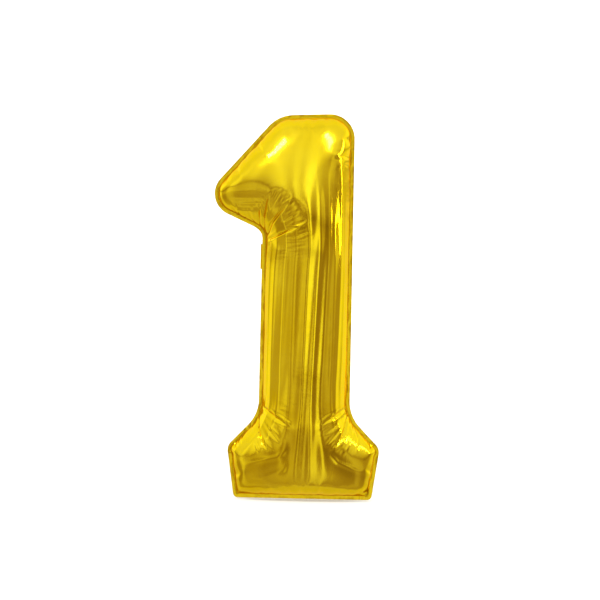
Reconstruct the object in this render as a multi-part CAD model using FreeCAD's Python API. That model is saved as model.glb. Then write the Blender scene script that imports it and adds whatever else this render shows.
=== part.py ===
"""Foil number balloon, digit one, inflated: two foil panels welded round the edge, with a
self-sealing film valve in the neck on the left of the stem and an inflation tail folded behind it.

Millimetres. +Z is up, the digit's front faces -Y, and the origin is the bottom centre of the whole balloon.
The foils lie either side of the plane y = 0, in which the welded margin lies flat.
"""

import FreeCAD
import Part

import math
import os
from bisect import bisect_right

Vector = FreeCAD.Vector

# ---- driving dimensions of the digit, x measured from the stem's centre line ----
STEM_HALF_WIDTH = 102.0
BASE_HALF_WIDTH = 154.0  # at the bottom edge
SHOULDER_HALF_WIDTH = 171.0  # the base's widest point
SHOULDER_HEIGHT = 115.0
STEM_FOOT_HEIGHT = 187.0  # where the base's slopes meet the stem
ARMPIT_HEIGHT = 598.0  # where the flag's underside meets the stem
NOSE = (-243.0, 662.0)  # the flag's tip before it is rounded
HEAD_LEFT = (-71.0, 857.0)
HEAD_RIGHT = (100.0, 864.0)
CORNER_RADIUS = {
    "base": 6.0,
    "shoulder": 24.0,
    "foot": 82.0,
    "armpit": 45.0,
    "nose": 50.0,
    "head_left": 78.0,
    "head_right": 55.0,
}
MARGIN = 9.0  # flat welded margin outside the inflated shape
WELD_WIDTH = 6.0
DEPTH_SHARE = 1.03  # inflated depth against that of an ideal film

# ---- film thicknesses, each several times that of the real film, so that every layer is a sound solid ----
FOIL = 0.5
FILM = 0.25
WELD_HALF = 0.35  # half the thickness of the welded layer between the foils
INK = 0.1

# ---- valve and tail ----
NECK_HEIGHT = 540.0
VALVE_WIDTH = 56.0
VALVE_RISE = 36.0  # the valve climbs this much between the neck and its inner end
VALVE_COLUMNS = 12  # it follows the front panel from the seam to the middle of the stem
SIDE_WELD = 5.0
FOIL_TO_VALVE = 0.6
FILM_TO_FLAP = 0.8
FLAP_ROOT_COLUMN = 1.0
NECK_FILM_END_COLUMN = 0.95
INK_WIDTH = 34.0
TACK_RADIUS = 4.0
TAIL_LENGTH = 58.0
TAIL_END_WIDTH = 46.0
TAIL_CORNER = 7.0
TAIL_FOLD_DEGREES = 110.0  # how far the tail is folded behind the balloon
TAIL_EDGE_WELD = 5.0
RIBBON_HOLE_RADIUS = 2.5
RIBBON_HOLE_FROM_END = 9.0
CREASE_RADIUS = 1.5  # the bead of film at the fold line
CREASE_OUT = 1.6  # the fold line's distance outside the trimmed edge
CREASE_CLEARANCE = 0.08

# ---- resolution of the inflated surface ----
COLUMNS = 24
ROWS = 100
ROW_EVENNESS = 0.4
COLUMN_EVENNESS = 0.15
SWEEPS = 420
OVER_RELAXATION = 1.9
TOP_LEFT_DROP = 17.0  # the surface's top corners lie this far below the highest point
TOP_RIGHT_DROP = 9.0
ARCH_START = 0.8  # the rows arch upwards over the last share of the height


def at(x, z, y=0.0):
    return Vector(x, y, z)


# ---------------------------------------------------------------- outline


def digit_corners():
    """The trimmed outline's corners with their radii, clockwise from the bottom left."""
    r = CORNER_RADIUS
    return [
        (-BASE_HALF_WIDTH, 0.0, r["base"]),
        (-SHOULDER_HALF_WIDTH, SHOULDER_HEIGHT, r["shoulder"]),
        (-STEM_HALF_WIDTH, STEM_FOOT_HEIGHT, r["foot"]),
        (-STEM_HALF_WIDTH, ARMPIT_HEIGHT, r["armpit"]),
        (*NOSE, r["nose"]),
        (*HEAD_LEFT, r["head_left"]),
        (*HEAD_RIGHT, r["head_right"]),
        (STEM_HALF_WIDTH, STEM_FOOT_HEIGHT, r["foot"]),
        (SHOULDER_HALF_WIDTH, SHOULDER_HEIGHT, r["shoulder"]),
        (BASE_HALF_WIDTH, 0.0, r["base"]),
    ]


def rounded_wire(corners, y=0.0):
    """A closed wire through the corners (x, z, radius), each replaced by its tangent arc."""
    arcs = []
    for k, (x, z, radius) in enumerate(corners):
        here = at(x, z, y)
        back = at(*corners[k - 1][:2], y) - here
        ahead = at(*corners[(k + 1) % len(corners)][:2], y) - here
        back.normalize()
        ahead.normalize()
        half = back.getAngle(ahead) / 2
        cut = radius / math.tan(half)
        inward = back + ahead
        inward.normalize()
        middle = here + inward * (radius / math.sin(half) - radius)
        arcs.append((here + back * cut, middle, here + ahead * cut))
    edges = []
    for k, (start, middle, end) in enumerate(arcs):
        edges.append(Part.Arc(start, middle, end).toShape())
        edges.append(Part.LineSegment(end, arcs[(k + 1) % len(arcs)][0]).toShape())
    return Part.Wire(edges)


def centred_corners():
    """The corners, moved sideways so that the outline's box is centred on x = 0, and the move."""
    corners = digit_corners()
    shift = -rounded_wire(corners).BoundBox.Center.x
    return [(x + shift, z, radius) for x, z, radius in corners], shift


def inset(wire, distance):
    """The wire moved inwards by a distance in its own plane."""
    return wire.makeOffset2D(-distance)


def side_tables(wire, samples=3000):
    """The heights and x values up the outline's left and right sides."""
    points = wire.discretize(Number=samples)
    low, high = min(p.z for p in points), max(p.z for p in points)
    middle = sum(p.x for p in points) / len(points)
    tables = []
    for sign in (-1, 1):
        side = sorted((p.z, p.x) for p in points if sign * (p.x - middle) > 0 and p.z > low + 0.01)
        (z0, x0), (z1, x1) = side[:2]
        corner = x0 + (x1 - x0) * (low - z0) / (z1 - z0)
        tables.append([(low, corner)] + side)
    return tables, low, high


def side_x(table, z):
    """The side's x at height z, between the two nearest samples."""
    k = min(max(bisect_right(table, (z,)), 1), len(table) - 1)
    (z0, x0), (z1, x1) = table[k - 1], table[k]
    return x0 + (x1 - x0) * (z - z0) / (z1 - z0) if z1 > z0 else x0


# ---------------------------------------------------------------- inflated surface


def spaced(share, evenness):
    """A share of the way across, moved so that the lines crowd together towards both ends."""
    return evenness * share + (1 - evenness) * (1 - math.cos(math.pi * share)) / 2


def flat_grid(seam):
    """Points of the flat front inside the seam: rows up the digit, columns across it."""
    (left, right), low, high = side_tables(seam)
    left_top, right_top = high - TOP_LEFT_DROP, high - TOP_RIGHT_DROP
    grid = []
    for j in range(ROWS + 1):
        share = spaced(j / ROWS, ROW_EVENNESS)
        z_left, z_right = low + share * (left_top - low), low + share * (right_top - low)
        x_left, x_right = side_x(left, z_left), side_x(right, z_right)
        arch = (max(0.0, share - ARCH_START) / (1 - ARCH_START)) ** 2
        row = []
        for i in range(COLUMNS + 1):
            across = spaced(i / COLUMNS, COLUMN_EVENNESS)
            bow = 4 * across * (1 - across) * arch
            z = z_left + across * (z_right - z_left)
            row.append((x_left + across * (x_right - x_left), z + bow * (high - (left_top + right_top) / 2)))
        grid.append(row)
    return grid


def cotangent(apex, one, other):
    """Cotangent of the angle at apex, and the triangle's doubled area."""
    ax, az = one[0] - apex[0], one[1] - apex[1]
    bx, bz = other[0] - apex[0], other[1] - apex[1]
    doubled = abs(ax * bz - az * bx)
    return (ax * bx + az * bz) / max(doubled, 1e-9), doubled


def membrane(grid):
    """The height of a soap film blown up over the grid: linear triangles, solved by relaxation."""
    weights = {}
    load = {}
    for j in range(ROWS):
        for i in range(COLUMNS):
            a, b, c, d = (j, i), (j, i + 1), (j + 1, i + 1), (j + 1, i)
            for triangle in ((a, b, c), (a, c, d)):
                for k in range(3):
                    p, q, r = triangle[k], triangle[k - 1], triangle[k - 2]
                    cot, doubled = cotangent(grid[p[0]][p[1]], grid[q[0]][q[1]], grid[r[0]][r[1]])
                    weights.setdefault(q, {})[r] = weights.get(q, {}).get(r, 0.0) + cot / 2
                    weights.setdefault(r, {})[q] = weights.get(r, {}).get(q, 0.0) + cot / 2
                    load[p] = load.get(p, 0.0) + doubled / 6
    film = [[0.0] * (COLUMNS + 1) for _ in range(ROWS + 1)]
    inside = [(j, i) for j in range(1, ROWS) for i in range(1, COLUMNS)]
    stencil = {n: (list(weights[n].items()), sum(weights[n].values()), load[n]) for n in inside}
    for _ in range(SWEEPS):
        for j, i in inside:
            around, total, push = stencil[j, i]
            target = (push + sum(w * film[a][b] for (a, b), w in around)) / total
            film[j][i] += OVER_RELAXATION * (target - film[j][i])
    return film


def inflated_grid(flat):
    """Front surface points. A film of height h gives a depth of sqrt(2 h), which makes a long strip round."""
    film = membrane(flat)
    return [
        [
            at(x, z, -WELD_HALF - FOIL - DEPTH_SHARE * math.sqrt(2 * max(film[j][i], 0.0)))
            for i, (x, z) in enumerate(row)
        ]
        for j, row in enumerate(flat)
    ]


def grid_normals(grid):
    """Outward normals of the front surface. Along both sides' seams they lie in the seam's plane."""
    normals = []
    for j in range(ROWS + 1):
        row = []
        for i in range(COLUMNS + 1):
            up = grid[min(j + 1, ROWS)][i] - grid[max(j - 1, 0)][i]
            across = grid[j][min(i + 1, COLUMNS)] - grid[j][max(i - 1, 0)]
            side = -1 if i == 0 else 1
            normal = Vector(side * up.z, 0, -side * up.x) if i in (0, COLUMNS) else across.cross(up)
            row.append(normal.normalize())
        normals.append(row)
    return normals


# ---------------------------------------------------------------- solids


def smooth_surface(grid):
    surface = Part.BSplineSurface()
    surface.interpolate(grid)
    return surface


def domed_face(grid):
    """The smooth face through the grid, with its edges pressed exactly flat."""
    surface = smooth_surface(grid)
    foot = -WELD_HALF - FOIL
    last_u, last_v = surface.NbUPoles, surface.NbVPoles
    for u in range(1, last_u + 1):
        for v in range(1, last_v + 1):
            if u in (1, last_u) or v in (1, last_v):
                pole = surface.getPole(u, v)
                surface.setPole(u, v, at(pole.x, pole.z, foot))
    return surface.toShape()


def boundary(grid):
    """The four edge rows and columns of a grid, in order round it."""
    return [
        grid[0],
        [row[-1] for row in grid],
        grid[-1][::-1],
        [row[0] for row in grid][::-1],
    ]


def spline_edge(points):
    curve = Part.BSplineCurve()
    curve.interpolate(Points=points)
    return curve.toShape()


def plate_between(front, back):
    """The closed solid between two surfaces given as grids of the same size."""
    near, far = smooth_surface(front).toShape(), smooth_surface(back).toShape()
    faces = [near, far]
    for edge in near.Edges:
        middle = edge.valueAt((edge.FirstParameter + edge.LastParameter) / 2)
        twin = min(far.Edges, key=lambda e: e.distToShape(Part.Vertex(middle))[0])
        faces.append(Part.makeRuledSurface(edge, twin))
    return closed(faces)


def closed(faces):
    """The solid bounded by the faces."""
    shell = Part.makeShell(faces)
    shell.sewShape()
    return outward(Part.Solid(Part.Shell(shell.Faces)))


def outward(solid):
    """The solid with its faces turned outwards."""
    if solid.Volume < 0:
        solid.reverse()
    return solid


def flat_face(outer, inner):
    """The flat face between two closed wires."""
    return Part.makeFace([outer, inner], "Part::FaceMakerBullseye")


def box(x, y, z):
    """A box between the pairs of limits given for each axis."""
    return Part.makeBox(x[1] - x[0], y[1] - y[0], z[1] - z[0], Vector(x[0], y[0], z[0]))


def mirrored(solid):
    return outward(solid.mirror(Vector(0, 0, 0), Vector(0, 1, 0)))


def save(name, shape):
    shape.exportStep("parts/" + name + ".step")
    solids = shape.Solids
    print(name, len(solids), "solids", shape.isValid(), round(sum(s.Volume for s in solids)), "mm3")


# ---------------------------------------------------------------- sub-parts


def foil_panel(trim, outer, inner):
    """One foil: the inflated shell standing on its ply of the flat margin."""
    domed, hollow = domed_face(outer), domed_face(inner)
    foot = Part.Wire(Part.sortEdges(domed.Edges)[0])
    mouth = Part.Wire(Part.sortEdges(hollow.Edges)[0])
    to_front = Vector(0, -WELD_HALF - FOIL, 0)
    down = Vector(0, FOIL, 0)
    front_trim = trim.translated(to_front)
    faces = [
        domed,
        hollow,
        flat_face(front_trim, foot),
        flat_face(front_trim.translated(down), mouth.translated(down)),
        *front_trim.extrude(down).Faces,
        *[edge.extrude(down) for edge in mouth.Edges],
    ]
    return closed(faces)


def neck_range(extra=0.0):
    half = VALVE_WIDTH / 2 + extra
    return NECK_HEIGHT - half, NECK_HEIGHT + half


def perimeter_weld(trim, outer, edge_x):
    """The welded layer between the foils, open where the valve passes through it."""
    edges = [spline_edge([at(p.x, p.z) for p in points]) for points in boundary(outer)]
    face = flat_face(inset(trim, MARGIN - WELD_WIDTH), Part.Wire(edges))
    face.translate(Vector(0, -WELD_HALF, 0))
    weld = face.extrude(Vector(0, 2 * WELD_HALF, 0))
    gap = box((edge_x - 1, edge_x + 2 * MARGIN), (-1, 1), neck_range())
    return weld.cut(gap).Solids[0]


def front_point(outer, normals, column, height, depth):
    """A point inside the front panel at a column and height, that far in from the foil's face."""
    low = int(column)
    high = min(low + 1, COLUMNS)
    found = []
    for i in (low, high):
        heights = [row[i].z for row in outer]
        j = bisect_right(heights, height) - 1
        share = (height - heights[j]) / (heights[j + 1] - heights[j])
        point = outer[j][i] * (1 - share) + outer[j + 1][i] * share
        normal = (normals[j][i] * (1 - share) + normals[j + 1][i] * share).normalize()
        found.append(point - normal * depth)
    return found[0] * (1 - column + low) + found[1] * (column - low)


def valve_strip(outer, normals, columns, across, depths):
    """A strip of film lying along the inside of the front panel, between two depths."""
    grids = []
    for depth in depths:
        grids.append(
            [
                [
                    front_point(
                        outer,
                        normals,
                        column,
                        NECK_HEIGHT + offset + VALVE_RISE * column / VALVE_COLUMNS,
                        depth,
                    )
                    for column in columns
                ]
                for offset in across
            ]
        )
    return plate_between(*grids)


def spread(low, high, count):
    return [low + (high - low) * k / (count - 1) for k in range(count)]


def joined_to_neck(strip, edge_x, depth, y):
    """A film strip joined to its flat part, which lies between the foils from the trimmed edge inwards."""
    turn = edge_x + MARGIN + depth
    neck = box((edge_x, turn + FILM), (y, y + FILM), neck_range())
    riser = box((turn, turn + FILM), (-WELD_HALF - FOIL, y), neck_range())
    return strip.fuse([neck, riser]).removeSplitter().Solids[0]


def valve_parts(outer, normals, edge_x):
    """The valve's films, their welds, the ink lane that keeps the neck open, and the tack spots."""
    half = VALVE_WIDTH / 2
    first = FOIL + FOIL_TO_VALVE
    second = first + FILM
    flap = second + FILM_TO_FLAP
    all_columns = spread(0.0, VALVE_COLUMNS, 13)
    inner_columns = spread(FLAP_ROOT_COLUMN, VALVE_COLUMNS, 12)
    widths = spread(-half, half, 5)
    front_film = valve_strip(outer, normals, all_columns, widths, (first, second))
    front_film = joined_to_neck(front_film, edge_x, first, -WELD_HALF)
    neck_columns = spread(0.0, NECK_FILM_END_COLUMN, 4)
    neck_film = valve_strip(outer, normals, neck_columns, widths, (flap, flap + FILM))
    neck_film = joined_to_neck(neck_film, edge_x, flap, WELD_HALF - FILM)
    edge_strips = [
        valve_strip(outer, normals, inner_columns, spread(side, side + SIDE_WELD, 3), (second, second + FILM))
        for side in (-half, half - SIDE_WELD)
    ]
    tacks = []
    for column in (3.0, 10.5):
        for offset in (-half + 8.0, half - 8.0):
            height = NECK_HEIGHT + offset + VALVE_RISE * column / VALVE_COLUMNS
            spot = front_point(outer, normals, column, height, FOIL)
            inward = front_point(outer, normals, column, height, first) - spot
            tacks.append(Part.makeCylinder(TACK_RADIUS, FOIL_TO_VALVE * 0.8, spot + inward * 0.1, inward))
    ink_half = INK_WIDTH / 2
    ink = box(
        (edge_x + 0.5, edge_x + MARGIN),
        (-WELD_HALF + FILM, -WELD_HALF + FILM + INK),
        (NECK_HEIGHT - ink_half, NECK_HEIGHT + ink_half),
    )
    return {
        "valve_front_film": front_film,
        "valve_neck_film": neck_film,
        "valve_side_welds": Part.makeCompound(edge_strips),
        "valve_flap_film": valve_strip(outer, normals, inner_columns, widths, (flap, flap + FILM)),
        "valve_tack_welds": Part.makeCompound(tacks),
        "valve_ink_lane": ink,
    }


def tail_outline(axis_x, grow=0.0):
    """The tail's corners as it sticks straight out to the left, grown on its long sides and its end."""
    root, end = VALVE_WIDTH / 2 + grow, TAIL_END_WIDTH / 2 + grow
    tip = axis_x - TAIL_LENGTH - grow
    return [
        (axis_x, NECK_HEIGHT - root),
        (tip, NECK_HEIGHT - end),
        (tip, NECK_HEIGHT + end),
        (axis_x, NECK_HEIGHT + root),
    ]


def tail_layer(axis_x, y_limits, grow=0.0, clear=None):
    """One flat layer of the tail, with its ribbon hole and room for the crease at its root."""
    points = [at(x, z, y_limits[0]) for x, z in tail_outline(axis_x, grow)]
    layer = Part.Face(Part.makePolygon(points + points[:1]))
    layer = layer.extrude(Vector(0, y_limits[1] - y_limits[0], 0))
    tip = [e for e in layer.Edges if abs(e.CenterOfMass.x - points[1].x) < 1e-3 and e.Length < 2 * FOIL]
    layer = layer.makeFillet(TAIL_CORNER, tip)
    hole_at = Vector(points[1].x + grow + RIBBON_HOLE_FROM_END, -5, NECK_HEIGHT)
    layer = layer.cut(Part.makeCylinder(RIBBON_HOLE_RADIUS, 10, hole_at, Vector(0, 1, 0)))
    room = CREASE_RADIUS + CREASE_CLEARANCE
    z_low, z_high = neck_range(5.0)
    crease = Part.makeCylinder(room, z_high - z_low, Vector(axis_x, 0, z_low), Vector(0, 0, 1))
    return layer.cut(crease).Solids[0]


def tail_parts(axis_x):
    """The tail's plies, films and edge welds, folded behind the balloon about the crease."""
    film_grow = -TAIL_EDGE_WELD
    gap = (-WELD_HALF, WELD_HALF)
    front_ply = tail_layer(axis_x, (-WELD_HALF - FOIL, -WELD_HALF))
    films = [
        tail_layer(axis_x, (-WELD_HALF, -WELD_HALF + FILM), film_grow),
        tail_layer(axis_x, (WELD_HALF - FILM, WELD_HALF), film_grow),
    ]
    both_edges = tail_layer(axis_x, gap).cut(tail_layer(axis_x, gap, film_grow))
    past_films = axis_x - TAIL_LENGTH + TAIL_EDGE_WELD
    mouth = box((axis_x - TAIL_LENGTH - 1, past_films), (-1, 1), neck_range())
    parts = {
        "tail_front_ply": front_ply,
        "tail_back_ply": mirrored(front_ply),
        "tail_valve_films": Part.makeCompound(films),
        "tail_edge_welds": Part.makeCompound(
            [s for s in both_edges.cut(mouth).Solids if s.Volume > 1.0]
        ),
    }
    for shape in parts.values():
        shape.rotate(Vector(axis_x, 0, 0), Vector(0, 0, 1), -TAIL_FOLD_DEGREES)
    return parts


def tail_crease(axis_x, edge_x):
    """The rounded fold line that joins the tail to the trimmed edge of the foils."""
    low, high = neck_range()
    bead = Part.makeCylinder(CREASE_RADIUS, high - low, Vector(axis_x, 0, low), Vector(0, 0, 1))
    web = box((axis_x, edge_x), (-WELD_HALF - FOIL, WELD_HALF + FOIL), (low, high))
    return bead.fuse(web).removeSplitter().Solids[0]


def main():
    os.makedirs("parts", exist_ok=True)
    corners, shift = centred_corners()
    trim = rounded_wire(corners)
    outer = inflated_grid(flat_grid(inset(trim, MARGIN)))
    normals = grid_normals(outer)
    inner = inflated_grid(flat_grid(inset(trim, MARGIN + FOIL)))
    edge_x = shift - STEM_HALF_WIDTH
    axis_x = edge_x - CREASE_OUT
    front = foil_panel(trim, outer, inner)
    parts = {
        "front_foil_panel": front,
        "back_foil_panel": mirrored(front),
        "perimeter_weld": perimeter_weld(trim, outer, edge_x),
        "tail_crease": tail_crease(axis_x, edge_x),
        **valve_parts(outer, normals, edge_x),
        **tail_parts(axis_x),
    }
    for name, shape in parts.items():
        save(name, shape)
    depth = max(-p.y for row in outer for p in row)
    flap_depth = FOIL + FOIL_TO_VALVE + FILM + FILM_TO_FLAP + FILM / 2
    flap_root = front_point(outer, normals, FLAP_ROOT_COLUMN, NECK_HEIGHT, flap_depth)
    print("half depth", round(depth, 2), "fold axis x", round(axis_x, 3), "shift", round(shift, 3))
    print("flap root", [round(c, 3) for c in flap_root])


main()
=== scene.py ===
"""Gold foil number balloon, digit one: film inflated from its flat pattern, with its weld, valve and tail.

Arrays of points are in mm, and meshes, the camera and the set in metres.
"""

import math

import bmesh
import bpy
import numpy as np
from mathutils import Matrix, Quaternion, Vector
from mathutils.bvhtree import BVHTree
from mathutils.geometry import delaunay_2d_cdt


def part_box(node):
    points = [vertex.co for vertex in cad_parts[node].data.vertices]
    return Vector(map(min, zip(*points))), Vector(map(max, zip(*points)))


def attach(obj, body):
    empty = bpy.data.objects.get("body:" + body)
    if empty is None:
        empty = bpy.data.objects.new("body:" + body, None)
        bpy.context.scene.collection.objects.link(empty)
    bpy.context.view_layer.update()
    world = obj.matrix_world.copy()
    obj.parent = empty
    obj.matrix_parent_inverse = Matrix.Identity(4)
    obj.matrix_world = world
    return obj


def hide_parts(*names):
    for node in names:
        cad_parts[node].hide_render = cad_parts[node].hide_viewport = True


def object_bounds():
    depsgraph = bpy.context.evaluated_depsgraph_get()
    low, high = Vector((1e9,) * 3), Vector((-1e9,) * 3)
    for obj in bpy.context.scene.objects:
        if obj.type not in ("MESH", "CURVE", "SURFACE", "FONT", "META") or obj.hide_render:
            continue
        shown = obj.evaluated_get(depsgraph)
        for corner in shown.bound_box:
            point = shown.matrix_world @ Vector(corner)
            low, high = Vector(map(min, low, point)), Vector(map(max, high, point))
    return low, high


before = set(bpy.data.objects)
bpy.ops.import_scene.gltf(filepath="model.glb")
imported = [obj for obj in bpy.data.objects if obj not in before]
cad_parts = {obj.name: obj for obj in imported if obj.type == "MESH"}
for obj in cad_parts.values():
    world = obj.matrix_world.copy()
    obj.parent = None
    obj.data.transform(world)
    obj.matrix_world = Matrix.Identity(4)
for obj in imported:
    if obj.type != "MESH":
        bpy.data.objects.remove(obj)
cad_low, cad_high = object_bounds()

MM = 0.001

# -------- sizes of the balloon, in mm

# The inflated balloon's trimmed outline: x from the stem's centre line, height, corner radius
OUTLINE = [
    (-154, 0, 10),
    (-171, 115, 24),
    (-102, 187, 82),
    (-102, 598, 45),
    (-243, 662, 50),
    (-71, 857, 78),
    (100, 864, 55),
    (102, 187, 82),
    (171, 115, 24),
    (154, 0, 10),
]
STEM_LEFT = OUTLINE[2][0]
MARGIN = 9.0  # width of the flat welded margin
MARGIN_STRIPS = 3
FOIL = 0.4  # drawn thickness of one film
LAYER_GAP = 0.6  # from the middle of the margin to the middle of each film
WELD_HALF = 0.35
WELD_INSET = 0.15  # the weld ends this far inside the margin's edge
NECK_HEIGHT = 540.0
NECK_HALF = 28.0
NECK_SIDE = 15.0  # the neck's margin is within this of the stem's left edge
NECK_OUT, NECK_IN = 75.0, 35.0  # this far from the neck its margin is free, and this far on the CAD's edge
NECK_READ, NECK_DEPTH = 80.0, 30.0  # it is measured this far from the neck, and moved about this deep
RIPPLES = [(0.06, 2.5), (0.18, 8.0)]  # of the margin's outer edge: depth and width
CALM_NECK = 45.0  # they fade out this near the neck

# The tail, folded back from the neck's margin
PLY = 0.5  # the tail's plies, as the CAD has them
PLY_MIDDLE = 0.6  # from the tail's middle to a ply's middle
TAIL_AXIS = 1.6  # from the stem's left edge out to the fold
TAIL_START, TAIL_LENGTH = 1.62, 58.0
TAIL_ROOT_HALF, TAIL_END_HALF = 28.0, 23.0
TAIL_CORNER, TAIL_ROOT_CORNER = 7.0, 0.3
TAIL_WELD, TAIL_WELD_HALF, TAIL_WELD_POINTS = 5.0, 0.33, 40
TAIL_WELD_SHORT, TAIL_WELD_INSET = 0.3, 0.05  # it stays clear of the end's weld, and of the plies' edge
TAIL_FOLD = math.radians(110.0)
TAIL_MESH = 2.0
TAIL_FILM, TAIL_FILM_MIDDLE = 0.18, 0.22
HOLE_FROM_END, HOLE_RADIUS, HOLE_SIDES = 9.0, 2.5, 24

# The valve's films inside the balloon
FITTED_EDGE, SPLIT_ROUNDS = 4.0, 6  # their longest edge, and how often they may be split to reach it
TOUCHING = 0.001  # points nearer than this are one
RAY_START = 0.05  # in metres: behind the films, in front of the back foil
FILM_REACH, FLAP_REACH = 3.0, 10.0  # they stay behind every part of the foil that is this near
FLAT_EDGE, FLAT_INSET = 0.1, 1.5  # up to this far inside the seam, depths are read this far outside it
BLEND_START, BLEND_END = -1.0, 12.0  # inwards from the seam: where films start and fully follow the foil
SPREAD_START, SPREAD_END = 4.0, 35.0  # and where the reach sets in and is whole
CLEAR_SLOPE, CLEAR_SHARE = 0.1, 0.25  # extra room for each mm inwards, up to a share of the reach
FULL_GAP, GAP_SHARE = 3.0, 0.3  # a film deeper than this keeps only a share of the rest

# Long soft folds down the stem: place on the flat film as a share of the stem's half width, half width in mm,
# height out of the film, lower and upper ends, sideways lean over the length
STEM_FOLDS = [
    (-0.90, 7, 1.1, 110, 640, 4),
    (-0.74, 5, 1.1, 150, 600, -5),
    (-0.60, 6, 1.3, 60, 620, 4),
    (-0.40, 7, 1.2, 90, 660, 6),
    (-0.23, 8, 1.4, 40, 640, -6),
    (-0.05, 7, 1.4, 15, 700, 4),
    (0.10, 6, 1.3, 20, 720, 8),
    (0.24, 7, 1.4, 40, 740, 10),
    (0.38, 6, 1.1, 120, 640, -6),
    (0.51, 6, 1.3, 90, 760, 6),
    (0.63, 5, 1.0, 150, 700, -4),
    (0.76, 6, 1.1, 110, 740, 4),
    (0.90, 7, 1.0, 150, 760, 0),
]
# Short creases where the film buckles beside the corners of the outline: height out of the film, half width,
# and the points each runs through, x from the stem's centre line and height
CREASES = [
    (-1.2, 4.0, [(-184, 654), (-103, 656), (-78, 614)]),
    (0.8, 2.5, [(-178, 682), (-116, 684), (-90, 669)]),
    (0.8, 2.5, [(-186, 669), (-103, 669), (-74, 636)]),
    (0.7, 2.5, [(-173, 641), (-115, 640)]),
    (1.0, 1.6, [(-79, 168), (-52, 144)]),
    (1.0, 1.6, [(-97, 151), (-61, 104)]),
    (0.9, 1.6, [(-109, 130), (-96, 101)]),
    (1.0, 1.6, [(91, 168), (50, 121)]),
    (1.0, 1.6, [(108, 139), (84, 99)]),
    (0.9, 1.6, [(125, 135), (117, 110)]),
    (1.6, 4.0, [(50, 117), (76, 88), (118, 69), (147, 61)]),
    (1.3, 5.0, [(-28, 124), (-57, 98), (-110, 84), (-135, 76)]),
    (1.3, 6.0, [(-28, 99), (-44, 69), (-89, 48), (-130, 41)]),
    (0.9, 4.0, [(-109, 18), (-68, 27), (-34, 20)]),
]
CREASE_FADE = 0.4  # share of a crease's length in which it fades out at each end
STEM_MIDDLE, STEM_BAND = 400.0, 10.0  # the flat stem's half width is read in this band
FOLD_RUNOUT, FOLD_LOW_FADE, FOLD_HIGH_FADE = 10.0, 60.0, 70.0  # a fold fades from past its end to inside it
BACK_SCALE, BACK_SHIFT = 0.93, 5.0  # the back has the same folds, mirrored and moved a little
FACING_FADE = (0.05, 0.3)  # folds fade out where the film turns edge-on
FAN_HEIGHTS = [0.0, 60.0, 120.0, 210.0, 260.0]  # where the folds spread into the base, and by how much
FAN_SPREAD = [1.75, 1.6, 1.35, 1.05, 1.0]
FLAG_HEIGHTS = [560.0, 620.0, 680.0, 760.0]  # and on the left into the flag
FLAG_SPREAD = [0.0, 0.15, 0.6, 1.1]

# Where the seam's puckers are smoothed: how far from it, how much, and where on the balloon that fades in
CALM_REACH, CALM_RINGS, FAR_RING = 36.0, 30, 99  # points past the last ring count as the far one
CALM_SHARE, CALM_STEP, CALM_ROUNDS = 0.8, 0.5, 20
CALM_BASE = (110.0, 85.0)
CALM_HEAD = (690.0, 715.0)
CALM_NOSE = (-165.0, -190.0)
CALM_NOSE_FOOT = (600.0, 620.0)

# -------- numbers for the inflation

COARSE = 24.0  # the first mesh size, in mm, halved from level to level
OUTLINE_STEP = 3.0
EDGE_CLEARANCE = 0.6  # inner points keep this share of the mesh size from an edge
TUBE_RADIUS = 93.0
LEVELS = [
    # steps, strain under pressure, share of compression resisted, bending, seam's bending, seam's guide
    (400, 0.02, 0.0, 0.005, 0.0, 0.0),
    (400, 0.01, 0.0, 0.004, 0.3, 0.1),
    (400, 0.008, 0.4, 0.003, 0.3, 0.1),
    (150, 0.006, 0.4, 0.002, 0.3, 0.1),
]
FINE_SPLITS = 2 ** (len(LEVELS) - 1)
CHOOSING_ROUNDS = 6
PUSH_EVERY, BEND_EVERY, TURN_EVERY = 3, 2, 5  # steps between these parts of the calculation
DAMPING = 0.02
PLANE_PULL = 0.3  # share of the guide that pulls the seam to the middle plane
STEM_SLACK = 0.9  # the stem's film resists this much less compression, so no ripples cross it
SMOOTH_ENDS = 0.6  # and the head's dome and the bottom edge this much less
HEAD_START = (700.0, 780.0)
BASE_END = (75.0, 30.0)
STEM_LOW = (235.0, 275.0)
STEM_HIGH = (590.0, 550.0)
START_GAP, START_NOISE, SPLIT_NOISE = 3.0, 0.4, 0.3
LEAVING_SHARE, LEAVING_BLUR = 0.6, 8.0  # how much the film's own slope turns the margin, and the blur of that

# The flat pattern is found in rounds. From FINE_ROUND on, each round uses a finer mesh and less blur
ROUNDS, FINE_ROUND = 9, 6
COARSE_ROUND_LEVEL = (350, 0.02, 0.0, 0.005, 0.0, 0.0)
FINE_ROUND_LEVEL = (300, 0.01, 0.0, 0.004, 0.0, 0.0)
FIRST_GROWTH, FIRST_BLUR = 30.0, 40.0
COARSE_BLUR, FINE_BLUR, PATTERN_BLUR = 22.0, 14.0, 8.0
BLURRED_ROUNDS = (2, 5)
CORRECTION = 0.9

# -------- looks

SHARP_ANGLE = math.radians(65)
GOLD_DEEP = (0.90, 0.62, 0.004)
GOLD_BRIGHT = (0.96, 0.70, 0.014)
FLOOR_GREY, FLOOR_DARKER, FLOOR_GLOW = (0.62, 0.62, 0.625), 0.985, 0.35

# The camera and the set, in metres
VIEW_CENTRE = Vector((0.006, 0.0, 0.4445))
CAMERA_DISTANCE = 4.6
SENSOR_MM = 36.0
FRAME_WIDTH = 1.343  # what the picture shows at the balloon
LEAN = math.radians(1.25)  # the balloon leans clockwise in the picture
STAGE_FLAT, STAGE_BEND, STAGE_TOP = 5.0, 1.0, 3.0  # radii of the level floor and its bend, and the wall's top
STAGE_RINGS, STAGE_STEP, STAGE_DROP = 12, 0.4, 0.002
STAGE_SIDES, BEND_STEPS = 96, 12

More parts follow.
